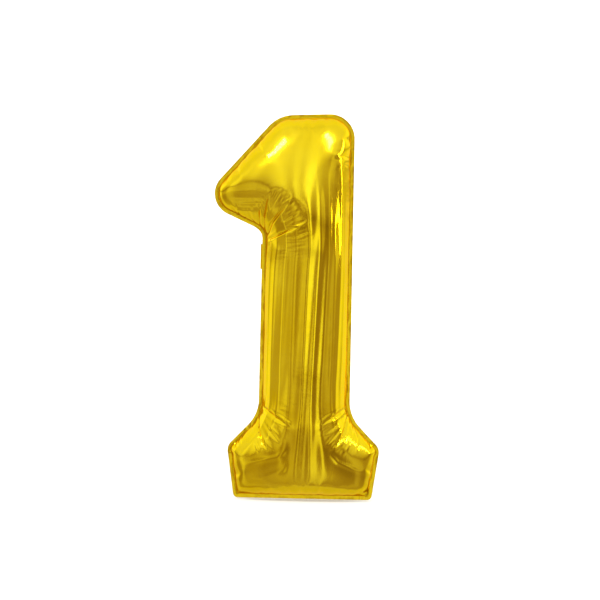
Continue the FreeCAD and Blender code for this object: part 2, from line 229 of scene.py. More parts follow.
# Area lights: place, aim, width and height, power in watts, turn in degrees, whether the foil mirrors it
LIGHTS = {
    "left_softbox": ((-1.55, -1.7, 2.9), (0, 0, 0.7), 0.6, 1.2, 68, -30, True),
    "right_softbox": ((1.75, -1.6, 2.7), (0, 0, 0.7), 0.4, 0.9, 34, 10, True),
    "right_strip": ((2.3, 0.1, 1.1), (0.05, 0, 0.8), 0.07, 0.9, 3, 0, True),
    "backdrop_light": ((0.0, 2.6, 3.2), (0, 6.0, 0.6), 6.0, 0.6, 220, 0, False),
}

# How bright the room is against how high one looks: -1 is straight down, 0 the horizon, 1 straight up
ROOM_SHADES = [
    (-1.0, 0.5), (-0.6, 0.55), (-0.3, 0.45), (-0.17, 0.5), (-0.09, 0.66), (0.05, 0.62),
    (0.08, 0.4), (0.11, 0.4), (0.15, 0.72), (0.35, 0.93), (0.96, 0.93), (1.0, 0.85),
]
# How much the upright bands show at that height
BAND_FADE = [(-1.0, 0.5), (-0.3, 1.0), (0.15, 1.0), (0.5, 0.15), (1.0, 0.05)]
# The bands: brightness against the direction along the horizon, in degrees to the right of the camera's side
ROOM_BANDS = [
    (-180, 1.5), (-118, 1.6), (-106, 0.85), (-88, 0.8), (-80, 1.35), (-72, 1.3), (-64, 0.85), (-52, 1.05),
    (-42, 0.7), (-30, 0.95), (-22, 1.2), (-15, 0.7), (-9, 0.45), (-4, 1.25), (2, 1.25), (6, 0.45),
    (11, 0.9), (17, 1.8), (27, 1.7), (33, 0.65), (42, 0.5), (54, 0.5), (60, 0.95), (70, 0.85),
    (78, 0.65), (96, 0.65), (108, 1.3), (125, 1.6), (180, 1.5),
]
# The room's colour against its brightness
ROOM_TINTS = [
    (0.0, (1.0, 0.6, 0.5)),
    (0.3, (1.0, 0.72, 0.6)),
    (0.6, (1.0, 0.92, 0.85)),
    (1.1, (1.0, 1.08, 1.0)),
]


# -------- closed outlines

def ramp(value, start, end):
    """0 at start, 1 at end, smooth between them."""
    share = np.clip((value - start) / (end - start), 0, 1)
    return share * share * (3 - 2 * share)


def next_of(points):
    return np.roll(points, -1, axis=0)


def arc_lengths(points):
    """Distance along a closed line at each point, with the whole length at the end."""
    return np.concatenate([[0.0], np.cumsum(np.linalg.norm(next_of(points) - points, axis=1))])


def interpolated(at, along, values):
    """Values known at some distances along a closed line, read at others."""
    closed = np.concatenate([values, values[:1]])
    return np.stack([np.interp(at, along, closed[:, k]) for k in range(values.shape[1])], 1)


def sampled(points, at):
    """Points of a closed line at the given distances along it."""
    return interpolated(at, arc_lengths(points), points)


def smoothed(values, step, width):
    """Values round a closed line, averaged with a bell of that width."""
    reach = int(3 * width / step)
    offsets = np.arange(-reach, reach + 1)
    weights = np.exp(-((offsets * step) ** 2) / (2 * width * width))
    weights /= weights.sum()
    result = np.zeros_like(values)
    for offset, weight in zip(offsets, weights):
        result += weight * np.roll(values, offset, axis=0)
    return result


def rounded_outline(corners, step):
    """The outline with its corners rounded, as evenly spaced points."""
    spots = [np.array(c[:2], float) for c in corners]
    points = []
    for k, (spot, corner) in enumerate(zip(spots, corners)):
        before = spots[k - 1] - spot
        after = spots[(k + 1) % len(spots)] - spot
        before /= np.linalg.norm(before)
        after /= np.linalg.norm(after)
        half = math.acos(before @ after) / 2
        cut = corner[2] / math.tan(half)
        middle = (before + after) / np.linalg.norm(before + after)
        start, end = spot + before * cut, spot + after * cut
        centre = spot + middle * corner[2] / math.sin(half)
        radius = np.linalg.norm(start - centre)
        first = math.atan2(*(start - centre)[::-1])
        last = math.atan2(*(end - centre)[::-1])
        turn = (last - first + math.pi) % (2 * math.pi) - math.pi
        pieces = max(2, round(abs(turn) * radius / step))
        for j in range(pieces):
            angle = first + turn * j / pieces
            points.append(centre + radius * np.array([math.cos(angle), math.sin(angle)]))
        points.append(end)
    points = np.array(points)
    total = arc_lengths(points)[-1]
    number = round(total / step)
    return sampled(points, np.arange(number) * total / number)


def outward(points):
    """Unit directions out of a closed outline that runs clockwise."""
    tangent = next_of(points) - np.roll(points, 1, axis=0)
    tangent /= np.linalg.norm(tangent, axis=1)[:, None]
    return np.stack([-tangent[:, 1], tangent[:, 0]], 1)


# -------- flat sheets

def lattice(outline, spacing):
    """Points of a triangular lattice inside the outline, clear of its edge."""
    low, high = outline.min(0), outline.max(0)
    row = spacing * math.sqrt(3) / 2
    spots = [
        (low[0] + (i + 0.5 * (j % 2)) * spacing, low[1] + j * row)
        for j in range(int((high[1] - low[1]) / row) + 2)
        for i in range(int((high[0] - low[0]) / spacing) + 2)
    ]
    spots = np.array(spots)
    inside = np.zeros(len(spots), bool)
    distance = np.full(len(spots), np.inf)
    for a, b in zip(outline, next_of(outline)):
        crosses = (a[1] > spots[:, 1]) != (b[1] > spots[:, 1])
        meets = (b[0] - a[0]) * (spots[:, 1] - a[1]) / (b[1] - a[1] + 1e-12) + a[0]
        inside ^= crosses & (spots[:, 0] < meets)
        run = b - a
        share = np.clip(((spots - a) @ run) / (run @ run), 0, 1)
        distance = np.minimum(distance, np.linalg.norm(spots - (a + share[:, None] * run), axis=1))
    return spots[inside & (distance > EDGE_CLEARANCE * spacing)]


def flat_mesh(outline, spacing, hole=None):
    """A triangulated flat shape. The outline's points come first, then the hole's."""
    loops = [outline] if hole is None else [outline, hole]
    inner = lattice(outline, spacing)
    if hole is not None:
        centre = hole.mean(0)
        clear = np.linalg.norm(hole[0] - centre) + EDGE_CLEARANCE * spacing
        inner = inner[np.linalg.norm(inner - centre, axis=1) > clear]
    edges = []
    first = 0
    for loop in loops:
        edges += [(first + k, first + (k + 1) % len(loop)) for k in range(len(loop))]
        first += len(loop)
    spots = [Vector(p) for p in np.concatenate(loops + [inner])]
    vertices, _, faces, *_ = delaunay_2d_cdt(spots, edges, [], 1, 1e-6)
    vertices = np.array([v[:] for v in vertices])
    faces = np.array([f[:] for f in faces], int)
    if hole is not None:
        middles = vertices[faces].mean(1)
        faces = faces[np.linalg.norm(middles - centre, axis=1) > np.linalg.norm(hole[0] - centre)]
    turned = doubled_areas(vertices, faces) < 0
    faces[turned] = faces[turned][:, ::-1]
    return vertices, faces


def doubled_areas(points, faces):
    """Twice each flat triangle's area, below zero where its corners run clockwise."""
    a, b, c = points[faces[:, 0]], points[faces[:, 1]], points[faces[:, 2]]
    return (b[:, 0] - a[:, 0]) * (c[:, 1] - a[:, 1]) - (b[:, 1] - a[:, 1]) * (c[:, 0] - a[:, 0])


def face_normals(points, faces):
    """Normals of triangles, as long as twice their area."""
    return np.cross(points[faces[:, 1]] - points[faces[:, 0]], points[faces[:, 2]] - points[faces[:, 0]])


def face_sides(faces):
    return np.concatenate([faces[:, [0, 1]], faces[:, [1, 2]], faces[:, [2, 0]]])


def unique_edges(faces):
    """Each edge once, and which of them every face's sides are."""
    return np.unique(np.sort(face_sides(faces), 1), axis=0, return_inverse=True)


def both_ways(edges):
    return (edges[:, 0], edges[:, 1]), (edges[:, 1], edges[:, 0])


class Sheets:
    """Two flat films, front and back, that share their edge."""

    def __init__(self, flat_outline, target, spacing):
        total = arc_lengths(flat_outline)[-1]
        edge_count = 2 * round(total / spacing / 2)
        at = np.arange(edge_count * FINE_SPLITS) * total / (edge_count * FINE_SPLITS)
        self.length = total
        self.fine = sampled(flat_outline, at)
        self.target = interpolated(at, arc_lengths(flat_outline), target)
        self.skip = FINE_SPLITS
        vertices, faces = flat_mesh(self.fine[:: self.skip], spacing)
        count = len(vertices)
        twin = np.arange(count)
        twin[edge_count:] += count - edge_count
        self.flat = np.concatenate([vertices, vertices[edge_count:]])
        self.faces = np.concatenate([faces, twin[faces][:, ::-1]])
        self.front_faces = len(faces)
        inner = count - edge_count
        self.side = np.concatenate([np.zeros(edge_count), -np.ones(inner), np.ones(inner)])
        self.seam = np.arange(edge_count)

    def goal(self):
        """The target outline's point for each point of the seam."""
        return self.target[:: self.skip]

    def split(self, shape):
        """Splits every triangle into four, and returns the shape with its new points."""
        faces = self.faces
        edges, where = unique_edges(faces)
        count, number, front = len(self.flat), len(faces), self.front_faces
        ab, bc, ca = np.split(count + where.reshape(-1), [number, 2 * number])
        corners = [(faces[:, 0], ab, ca), (ab, faces[:, 1], bc), (ca, bc, faces[:, 2]), (ab, bc, ca)]
        corners = [np.stack(c, 1) for c in corners]
        self.faces = np.concatenate([c[:front] for c in corners] + [c[front:] for c in corners])
        self.front_faces = 4 * front

        def with_middles(values):
            return np.concatenate([values, (values[edges[:, 0]] + values[edges[:, 1]]) / 2])

        after = np.roll(self.seam, -1)
        keys = edges[:, 0] * count + edges[:, 1]
        wanted = np.minimum(self.seam, after) * count + np.maximum(self.seam, after)
        middles = count + np.searchsorted(keys, wanted)
        self.seam = np.stack([self.seam, middles], 1).reshape(-1)
        self.flat = with_middles(self.flat)
        self.side = np.sign(with_middles(self.side))
        self.skip //= 2
        self.flat[self.seam] = self.fine[:: self.skip]
        self.side[self.seam] = 0
        return with_middles(shape)


# -------- inflation

def independent_sets(edges, count):
    """Groups of edges in which no two edges share a point."""
    left = np.random.default_rng(3).permutation(len(edges))
    groups = []
    while len(left):
        used = np.zeros(count, bool)
        chosen = []
        waiting = left
        for _ in range(CHOOSING_ROUNDS):
            waiting = waiting[~(used[edges[waiting, 0]] | used[edges[waiting, 1]])]
            if not len(waiting):
                break
            a, b = edges[waiting, 0], edges[waiting, 1]
            order = np.arange(len(waiting))
            best = np.full(count, len(waiting))
            np.minimum.at(best, a, order)
            np.minimum.at(best, b, order)
            free = (best[a] == order) & (best[b] == order)
            chosen.append(waiting[free])
            used[edges[waiting[free]].reshape(-1)] = True
            waiting = waiting[~free]
        group = np.concatenate(chosen)
        groups.append(group)
        left = np.setdiff1d(left, group)
    return groups


def edge_groups(sheets, edges, lengths, lightness, compression):
    """Edges that can be corrected at once: their ends, lengths, softness and each end's share of the move."""
    groups = []
    for group in independent_sets(edges, len(lightness)):
        i, j = edges[group, 0], edges[group, 1]
        part = (lightness[i] / (lightness[i] + lightness[j]))[:, None]
        height = (sheets.flat[i, 1] + sheets.flat[j, 1]) / 2
        softness = compression * (1 - STEM_SLACK * ramp(height, *STEM_LOW) * ramp(height, *STEM_HIGH))
        for low, high in (HEAD_START, BASE_END):
            softness = softness * (1 - SMOOTH_ENDS * ramp(height, low, high))
        groups.append((i, j, lengths[group], softness, part, 1 - part))
    return groups


def neighbour_table(edges, count):
    """Each point's neighbours, filled up with the point itself, and how many it has."""
    degree = np.bincount(edges.reshape(-1), minlength=count)
    neighbours = np.tile(np.arange(count)[:, None], (1, degree.max()))
    source = np.concatenate([edges[:, 0], edges[:, 1]])
    other = np.concatenate([edges[:, 1], edges[:, 0]])
    order = np.argsort(source, kind="stable")
    source, other = source[order], other[order]
    first = np.concatenate([[0], np.cumsum(degree)])
    neighbours[source, np.arange(len(source)) - first[source]] = other
    return neighbours, degree[:, None].astype(float)


def curvature(values, neighbours, degree):
    """How far each point's value is from the mean of its neighbours'."""
    filling = neighbours.shape[1] - degree
    return (values[neighbours].sum(1) - filling * values) / degree - values


def turning(shape, speed, share_of_mass):
    """The part of each point's speed that comes from the whole balloon turning."""
    arm = shape - share_of_mass @ shape
    weighted = arm * share_of_mass[:, None]
    inertia = np.eye(3) * (share_of_mass @ (arm * arm).sum(1)) - arm.T @ weighted
    spin = np.linalg.solve(inertia, np.cross(weighted, speed).sum(0))
    return np.cross(spin, arm)


def inflate(sheets, shape, level):
    """Lets the pressure push the two films apart until they are nearly still."""
    steps, strain, compression, bending, seam_bending, guide = level
    faces, count = sheets.faces, len(shape)
    edges, _ = unique_edges(faces)
    lengths = np.linalg.norm(sheets.flat[edges[:, 0]] - sheets.flat[edges[:, 1]], axis=1)
    spacing = np.median(lengths)
    area = np.abs(doubled_areas(sheets.flat, faces)) / 2
    mass = np.bincount(faces.reshape(-1), np.repeat(area / 3, 3), minlength=count)
    lightness = 1 / mass
    share_of_mass = mass / mass.sum()
    groups = edge_groups(sheets, edges, lengths, lightness, compression)
    around = neighbour_table(edges, count)
    way_out = outward(sheets.goal())
    seam_goal = sheets.goal() - MARGIN * way_out

    def off_line(points):
        """How far each seam point is from its line, square to it, and from the middle plane."""
        square = ((seam_goal - points[:, [0, 2]]) * way_out).sum(1)
        return np.column_stack([square * way_out[:, 0], -PLANE_PULL * points[:, 1], square * way_out[:, 1]])

    shape = shape.copy()
    speed = np.zeros_like(shape)
    pressure = strain * spacing * spacing / TUBE_RADIUS
    corners = faces.reshape(-1)
    before, after, second = sheets.seam, np.roll(sheets.seam, -1), np.roll(sheets.seam, -2)
    for step in range(steps):
        if step % PUSH_EVERY == 0:
            normal = np.repeat(face_normals(shape, faces) / 6, 3, axis=0)
            push = [np.bincount(corners, normal[:, k], minlength=count) for k in range(3)]
            push = np.stack(push, 1) * (lightness * pressure)[:, None]
        speed = speed * (1 - DAMPING) + push
        start = shape.copy()
        shape += speed
        for i, j, length, softness, part_i, part_j in groups:
            run = shape[j] - shape[i]
            now = np.sqrt(np.einsum("ij,ij->i", run, run))
            excess = (now - length) / now
            excess = np.where(excess < 0, excess * softness, excess)
            move = run * excess[:, None]
            shape[i] += move * part_i
            shape[j] -= move * part_j
        if step % BEND_EVERY == 0:
            shape -= bending * curvature(curvature(shape, *around), *around)
            if seam_bending:
                shape[after] += seam_bending * ((shape[before] + shape[second]) / 2 - shape[after])
        if guide:
            shape[sheets.seam] += guide * off_line(shape[sheets.seam])
        speed = shape - start
        speed -= share_of_mass @ speed
        if step % TURN_EVERY == 0:
            speed -= turning(shape, speed, share_of_mass)
    return shape


def unit(vectors):
    return vectors / np.linalg.norm(vectors, axis=1)[:, None]


def margin_directions(sheets, shape):
    """Unit directions in which the flat margin leaves the seam, and along it."""
    edges, _ = unique_edges(sheets.faces)
    on_seam = np.zeros(len(shape), bool)
    on_seam[sheets.seam] = True
    inward = np.zeros_like(shape)
    for here, there in both_ways(edges):
        kept = on_seam[here] & ~on_seam[there]
        np.add.at(inward, here[kept], unit(shape[there[kept]] - shape[here[kept]]))
    step = sheets.length / len(sheets.seam)
    way_out = smoothed(outward(sheets.goal()), step, 0.5 * LEAVING_BLUR)
    in_plane = unit(np.stack([way_out[:, 0], np.zeros(len(way_out)), way_out[:, 1]], 1))
    tangent = np.stack([in_plane[:, 2], np.zeros(len(way_out)), -in_plane[:, 0]], 1)
    leaving = LEAVING_SHARE * unit(smoothed(-unit(inward[sheets.seam]), step, LEAVING_BLUR)) + in_plane
    leaving -= tangent * (leaving * tangent).sum(1)[:, None]
    return unit(leaving), tangent


def laid_on_goal(sheets, shape):
    """Turns and moves the shape so that its margin's edge lies on the outline, in the plane y = 0."""
    goal = sheets.goal()
    ring = shape[sheets.seam] + MARGIN * margin_directions(sheets, shape)[0]
    middle, goal_middle = ring[:, [0, 2]].mean(0), goal.mean(0)
    u, _, v = np.linalg.svd((ring[:, [0, 2]] - middle).T @ (goal - goal_middle))
    turn = v.T @ np.diag([1, np.sign(np.linalg.det(v.T @ u.T))]) @ u.T
    shape = shape.copy()
    for points in (shape, ring):
        points[:, [0, 2]] = (points[:, [0, 2]] - middle) @ turn.T + goal_middle
    plane = np.column_stack([ring[:, [0, 2]] - goal_middle, np.ones(len(ring))])
    tilt = np.linalg.lstsq(plane, ring[:, 1], rcond=None)[0]
    for points in (shape, ring):
        points[:, 1] -= (points[:, [0, 2]] - goal_middle) @ tilt[:2] + tilt[2]
    return shape, ring


def at_start(sheets):
    """The two films flat and a little apart, with slight unevenness."""
    random = np.random.default_rng(7)
    shape = np.zeros((len(sheets.flat), 3))
    shape[:, [0, 2]] = sheets.flat
    shape[:, 1] = sheets.side * START_GAP + random.normal(0, START_NOISE, len(shape))
    return shape


def flat_pattern(target):
    """The flat outline that inflates to the target outline, found by trying and correcting."""
    step = arc_lengths(target)[-1] / len(target)
    grown = smoothed(outward(target), step, FIRST_BLUR) * FIRST_GROWTH
    for number in range(ROUNDS):
        sheets = Sheets(target + grown, target, COARSE)
        shape = inflate(sheets, at_start(sheets), COARSE_ROUND_LEVEL)
        blur = COARSE_BLUR
        if number >= FINE_ROUND:
            shape = inflate(sheets, sheets.split(shape), FINE_ROUND_LEVEL)
            blur = FINE_BLUR
        _, ring = laid_on_goal(sheets, shape)
        spacing = sheets.length / len(ring)
        error = smoothed(sheets.goal() - ring[:, [0, 2]], spacing, blur)
        at = np.arange(len(error) + 1) * spacing
        grown = grown + CORRECTION * interpolated(arc_lengths(target + grown)[:-1], at, error)
        if number in BLURRED_ROUNDS:
            grown = smoothed(grown, step, PATTERN_BLUR)
    return target + grown


def inflated(target):
    """The inflated films at the finest level."""
    sheets = Sheets(flat_pattern(target), target, COARSE)
    shape = at_start(sheets)
    random = np.random.default_rng(5)
    for number, level in enumerate(LEVELS):
        if number:
            shape, _ = laid_on_goal(sheets, shape)
            shape = sheets.split(shape)
            shape[:, 1] += random.normal(0, SPLIT_NOISE / number, len(shape))
        shape = inflate(sheets, shape, level)
    return sheets, shape


# -------- pieces

def placed(name, data):
    """A new object, put in the scene."""
    thing = bpy.data.objects.new(name, data)
    bpy.context.scene.collection.objects.link(thing)
    return thing


def shade(mesh):
    """Smooth faces, with sharp edges where the surface turns sharply."""
    mesh.shade_smooth()
    mesh.set_sharp_from_angle(angle=SHARP_ANGLE)


def new_object(name, vertices, faces):
    """A mesh object from vertices in mm."""
    mesh = bpy.data.meshes.new(name)
    mesh.from_pydata((np.asarray(vertices) * MM).tolist(), [], [list(map(int, f)) for f in faces])
    mesh.validate()
    shade(mesh)
    return placed(name, mesh)


def finished(thing, body, slot_name, material, *nodes):
    """Gives a piece its material, and tells the frame its body and the nodes that it replaces. slot_name is
    not used.
    """
    thing.data.materials.append(material)
    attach(thing, body)
    if nodes:
        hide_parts(*nodes)
    return thing


def vertex_normals(points, faces):
    normals = face_normals(points, faces)
    total = np.zeros_like(points)
    for k in range(3):
        np.add.at(total, faces[:, k], normals)
    return unit(total)


def boundary_edges(faces):
    """The edges that only one face has, in that face's direction."""
    pairs = face_sides(faces)
    count = faces.max() + 1
    keys = pairs[:, 0] * count + pairs[:, 1]
    twins = pairs[:, 1] * count + pairs[:, 0]
    return pairs[~np.isin(keys, twins)]


def thickened(points, normals, faces, thickness):
    """A closed thin shell about a triangulated surface."""
    count = len(points)
    both = np.concatenate([points + normals * thickness / 2, points - normals * thickness / 2])
    start, end = boundary_edges(faces).T
    walls = [np.stack([end, start, start + count], 1), np.stack([end, start + count, end + count], 1)]
    return both, np.concatenate([faces, faces[:, ::-1] + count] + walls)


def tube_faces(count, sides):
    """Faces of a tube with shut ends. Its points come in lines, one line to each corner of its section."""
    faces = []
    for side in range(sides):
        a = side * count + np.arange(count - 1)
        b = (side + 1) % sides * count + np.arange(count - 1)
        faces += np.stack([a, a + 1, b + 1, b], 1).tolist()
    faces.append([side * count for side in range(sides)])
    faces.append([side * count + count - 1 for side in range(sides)][::-1])
    return faces


def creased(points):
    """How far each point stands out in the short creases."""
    move = np.zeros(len(points))
    for out, half, path in CREASES:
        path = np.array(path, float)
        total = np.linalg.norm(np.diff(path, axis=0), axis=1).sum()
        nearest = np.full(len(points), np.inf)
        place = np.zeros(len(points))
        passed = 0.0
        for start, end in zip(path[:-1], path[1:]):
            run = end - start
            length = np.linalg.norm(run)
            share = np.clip((points - start) @ run / length**2, 0, 1)
            distance = np.linalg.norm(points - start - share[:, None] * run, axis=1)
            closer = distance < nearest
            nearest = np.where(closer, distance, nearest)
            place = np.where(closer, passed + share * length, place)
            passed += length
        fade = CREASE_FADE * total
        ends = ramp(place, 0, fade) * ramp(total - place, 0, fade)
        move += out * np.exp(-((nearest / half) ** 2)) * ends
    return move


def folds(sheets, shape, normals):
    """How far each point of the films stands out in its folds and creases."""
    across, height = sheets.flat[:, 0], sheets.flat[:, 1]
    spread = np.interp(height, FAN_HEIGHTS, FAN_SPREAD)
    spread = spread + np.interp(height, FLAG_HEIGHTS, FLAG_SPREAD) * (across < 0)
    across = across / spread
    half_width = -sheets.flat[np.abs(height - STEM_MIDDLE) < STEM_BAND, 0].min()
    move = np.zeros(len(across))
    for place, half, out, low, high, lean in STEM_FOLDS:
        x = place * half_width
        share = (height - low) / (high - low)
        middle = x + lean * (share - 0.5)
        fade = ramp(height, low - FOLD_RUNOUT, low + FOLD_LOW_FADE)
        fade = fade * ramp(height, high + FOLD_RUNOUT, high - FOLD_HIGH_FADE)
        front = out * np.exp(-(((across - middle) / half) ** 2)) * fade
        back = out * np.exp(-(((across + middle * BACK_SCALE + BACK_SHIFT) / half) ** 2)) * fade
        move += np.where(sheets.side <= 0, front, back)
    move += creased(shape[:, [0, 2]])
    return move * ramp(np.abs(normals[:, 1]), *FACING_FADE)


def calmed(sheets, shape):
    """The shape with the seam's puckers smoothed along the head and the base."""
    shape = shape.copy()
    seam, goal = sheets.seam, sheets.goal()
    edges, _ = unique_edges(sheets.faces)
    around = neighbour_table(edges, len(shape))
    rings = np.full(len(shape), FAR_RING)
    rings[seam] = 0
    for number in range(1, CALM_RINGS):
        for here, there in both_ways(edges):
            next_ones = there[rings[here] == number - 1]
            rings[next_ones] = np.minimum(rings[next_ones], number)
    x, z = shape[:, 0], shape[:, 2]
    nose = ramp(x, *CALM_NOSE) * ramp(z, *CALM_HEAD[::-1]) * ramp(z, *CALM_NOSE_FOOT)
    region = ramp(z, *CALM_BASE) + ramp(z, *CALM_HEAD) + nose
    weight = region * np.exp(-((rings * sheets.length / len(seam) / CALM_REACH) ** 2))
    weight[seam] = 0
    line = goal - MARGIN * outward(goal)
    line = np.column_stack([line[:, 0], np.zeros(len(line)), line[:, 1]])
    shape[seam] += CALM_SHARE * region[seam][:, None] * (line - shape[seam])
    for _ in range(CALM_ROUNDS):
        shape += CALM_STEP * weight[:, None] * curvature(shape, *around)
    return shape


class Balloon:
    """The inflated films in the frame's place, with the flat margin round them."""

    def __init__(self):
        target = rounded_outline(OUTLINE, OUTLINE_STEP)
        sheets, shape = inflated(target)
        shape, _ = laid_on_goal(sheets, shape)
        shape = calmed(sheets, shape)
        leaving, tangent = margin_directions(sheets, shape)
        ring = shape[sheets.seam] + MARGIN * leaving
        self.neck_set(sheets, shape, ring)
        leaving = unit(ring - shape[sheets.seam])
        low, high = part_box("perimeter_weld")
        shift = (low.x + high.x) / MM / 2 - (target[:, 0].min() + target[:, 0].max()) / 2
        self.shift = np.array([shift, 0.0, 0.0])
        self.edge_x = shift + STEM_LEFT
        self.sheets = sheets
        self.shape = shape + self.shift
        self.ring = ring + self.shift
        self.leaving = leaving
        self.across = unit(np.cross(leaving, tangent))  # out of the margin, towards the back or the front
        if self.across[:, 1].mean() > 0:
            self.across = -self.across

    def on_neck_side(self):
        return self.ring[:, 0] < self.edge_x + NECK_SIDE

    def neck_set(self, sheets, shape, ring):
        """Brings the margin at the neck exactly onto the CAD's edge, where the tail joins it."""
        near = (np.abs(ring[:, 2] - NECK_HEIGHT) < NECK_READ) & (ring[:, 0] < 0)
        order = np.argsort(ring[near, 2])
        heights = ring[near, 2][order]
        error_x = (STEM_LEFT - ring[near, 0])[order]
        error_y = -ring[near, 1][order]
        for points in (shape, ring):
            height = points[:, 2]
            fade = ramp(height, NECK_HEIGHT - NECK_OUT, NECK_HEIGHT - NECK_IN)
            fade = fade * ramp(height, NECK_HEIGHT + NECK_OUT, NECK_HEIGHT + NECK_IN)
            fade = fade * np.exp(-(((points[:, 0] - STEM_LEFT) / NECK_DEPTH) ** 2))
            points[:, 0] += fade * np.interp(height, heights, error_x)
            points[:, 1] += fade * np.interp(height, heights, error_y)

    def crimp(self):
        """Small ripples of the margin's outer edge, out of its plane."""
        step = self.sheets.length / len(self.sheets.seam)
        random = np.random.default_rng(11)
        ripple = np.zeros(len(self.ring))
        for depth, width in RIPPLES:
            wave = smoothed(random.normal(0, 1, (len(self.ring), 1)), step, width)[:, 0]
            ripple += depth * wave / wave.std()
        calm = np.exp(-(((self.ring[:, 2] - NECK_HEIGHT) / CALM_NECK) ** 2)) * self.on_neck_side()
        return ripple * (1 - calm)

    def strip(self, number):
        """The margin's points at one of its strips' edges, out from the seam."""
        share = number / MARGIN_STRIPS
        seam = self.shape[self.sheets.seam]
        return seam + (self.ring - seam) * share + self.across * (self.crimp() * share)[:, None]

    def panel(self, side):
        """One film's middle surface, normals and faces: side is -1 for the front and 1 for the back."""
        sheets = self.sheets
        faces = sheets.faces[: sheets.front_faces] if side < 0 else sheets.faces[sheets.front_faces :]
        used = np.unique(faces)
        place = np.full(len(self.shape), -1)
        place[used] = np.arange(len(used))
        points = self.shape[used]
        faces = place[faces]
        normals = vertex_normals(points, faces)
        out = folds(sheets, self.shape - self.shift, vertex_normals(self.shape, sheets.faces))
        points = points + normals * out[used][:, None]
        flat_normal = self.across * -side
        seam = place[sheets.seam]
        normals[seam] = unit(normals[seam] + flat_normal)
        all_points, all_normals, all_faces = [points], [normals], [faces]
        inner = seam
        for number in range(1, MARGIN_STRIPS + 1):
            outer = len(used) + (number - 1) * len(seam) + np.arange(len(seam))
            all_points.append(self.strip(number))
            all_normals.append(flat_normal)
            inner_next, outer_next = np.roll(inner, -1), np.roll(outer, -1)
            quads = [np.stack([inner, inner_next, outer_next], 1), np.stack([inner, outer_next, outer], 1)]
            quads = quads if side < 0 else [q[:, ::-1] for q in quads]
            all_faces += quads
            inner = outer
        return np.concatenate(all_points), np.concatenate(all_normals), np.concatenate(all_faces)


def build_foil(balloon, name, side, material, node):
    """The front foil (side -1) or the back foil (side 1), with its ply of the margin."""
    points, normals, faces = balloon.panel(side)
    points = points + normals * LAYER_GAP
    vertices, faces = thickened(points, normals, faces, FOIL)
    return finished(new_object(name, vertices, faces), "balloon", "gold_foil", material, node)


def build_weld(balloon, material):
    """The fused layer between the films, open at the neck."""
    at_neck = (np.abs(balloon.ring[:, 2] - NECK_HEIGHT) < NECK_HALF) & balloon.on_neck_side()
    start = np.flatnonzero(at_neck & ~np.roll(at_neck, -1))[0] + 1
    order = (start + np.arange(len(at_neck))) % len(at_neck)
    order = order[~at_neck[order]]
    rows = []
    for number in range(1, MARGIN_STRIPS + 1):
        line = balloon.strip(number)
        if number == MARGIN_STRIPS:
            line = line - balloon.leaving * WELD_INSET
        rows.append(line[order])
    front = [r + balloon.across[order] * WELD_HALF for r in rows]
    back = [r - balloon.across[order] * WELD_HALF for r in rows]
    around = front + back[::-1]
    faces = tube_faces(len(order), len(around))
    thing = new_object("seam_weld", np.concatenate(around), faces)
    return finished(thing, "balloon", "weld_film", material, "perimeter_weld")


# -------- valve films inside the balloon

def tree_of(thing):
    mesh = thing.data
    return BVHTree.FromPolygons([v.co for v in mesh.vertices], [p.vertices for p in mesh.polygons])


def film_depth(tree, x, z):
    """The y of the front film's inner face at that x and z, in mm."""
    hit = tree.ray_cast(Vector((x, RAY_START, z)), Vector((0, -1, 0)))
    return None if hit[0] is None else hit[0].y / MM


def split_up(mesh):
    """Joins points that touch, and splits the mesh until no edge is long, so that it can bend."""
    work = bmesh.new()
    work.from_mesh(mesh)
    bmesh.ops.remove_doubles(work, verts=work.verts, dist=TOUCHING * MM)
    for _ in range(SPLIT_ROUNDS):
        bmesh.ops.triangulate(work, faces=work.faces)
        long_edges = [e for e in work.edges if e.calc_length() > FITTED_EDGE * MM]
        if not long_edges:
            break
        bmesh.ops.subdivide_edges(work, edges=long_edges, cuts=1)
    bmesh.ops.dissolve_degenerate(work, edges=work.edges, dist=TOUCHING * MM)
    bmesh.ops.triangulate(work, faces=work.faces)
    work.to_mesh(mesh)
    work.free()
    stale = mesh.attributes.get("custom_normal")
    if stale is not None:
        mesh.attributes.remove(stale)
    shade(mesh)


def fitted_y(point, trees, seam_x, reach):
    """The y, in mm, that keeps a CAD film's point as deep behind the inflated foil as behind the CAD's.

    It stays behind every part of the inflated foil that is within reach of it. In the margin it stays flat.
    """
    cad_tree, new_tree = trees
    x, y, z = point
    y /= MM
    if x / MM < seam_x + FLAT_EDGE:
        x = min(x, (seam_x - FLAT_INSET) * MM)
    inwards = x / MM - seam_x
    was = film_depth(cad_tree, x, z)
    spots = [(x, z)]
    for share in (0.5, 1.0):
        spread = share * reach * ramp(inwards, SPREAD_START, SPREAD_END) * MM
        spots += [(x - spread, z), (x + spread, z), (x, z - spread), (x, z + spread)]
    depths = [film_depth(new_tree, *spot) for spot in spots]
    known = [d for d in depths if d is not None]
    if was is None or not known:
        return y
    clear = min(CLEAR_SHARE * reach, CLEAR_SLOPE * max(0.0, inwards))
    moved = y + ramp(inwards, BLEND_START, BLEND_END) * (max(known) - was + clear)
    if depths[0] is not None:
        gap = y - was
        moved = max(moved, depths[0] + min(gap, FULL_GAP + GAP_SHARE * (gap - FULL_GAP)))
    return moved


def fitted_copy(name, node, trees, seam_x, reach):
    """A CAD film's mesh, bent to lie along the inside of the inflated foil."""
    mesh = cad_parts[node].data.copy()
    mesh.name = name
    mesh.materials.clear()
    split_up(mesh)
    for vertex in mesh.vertices:
        vertex.co.y = fitted_y(vertex.co, trees, seam_x, reach) * MM
    return placed(name, mesh)


# -------- tail

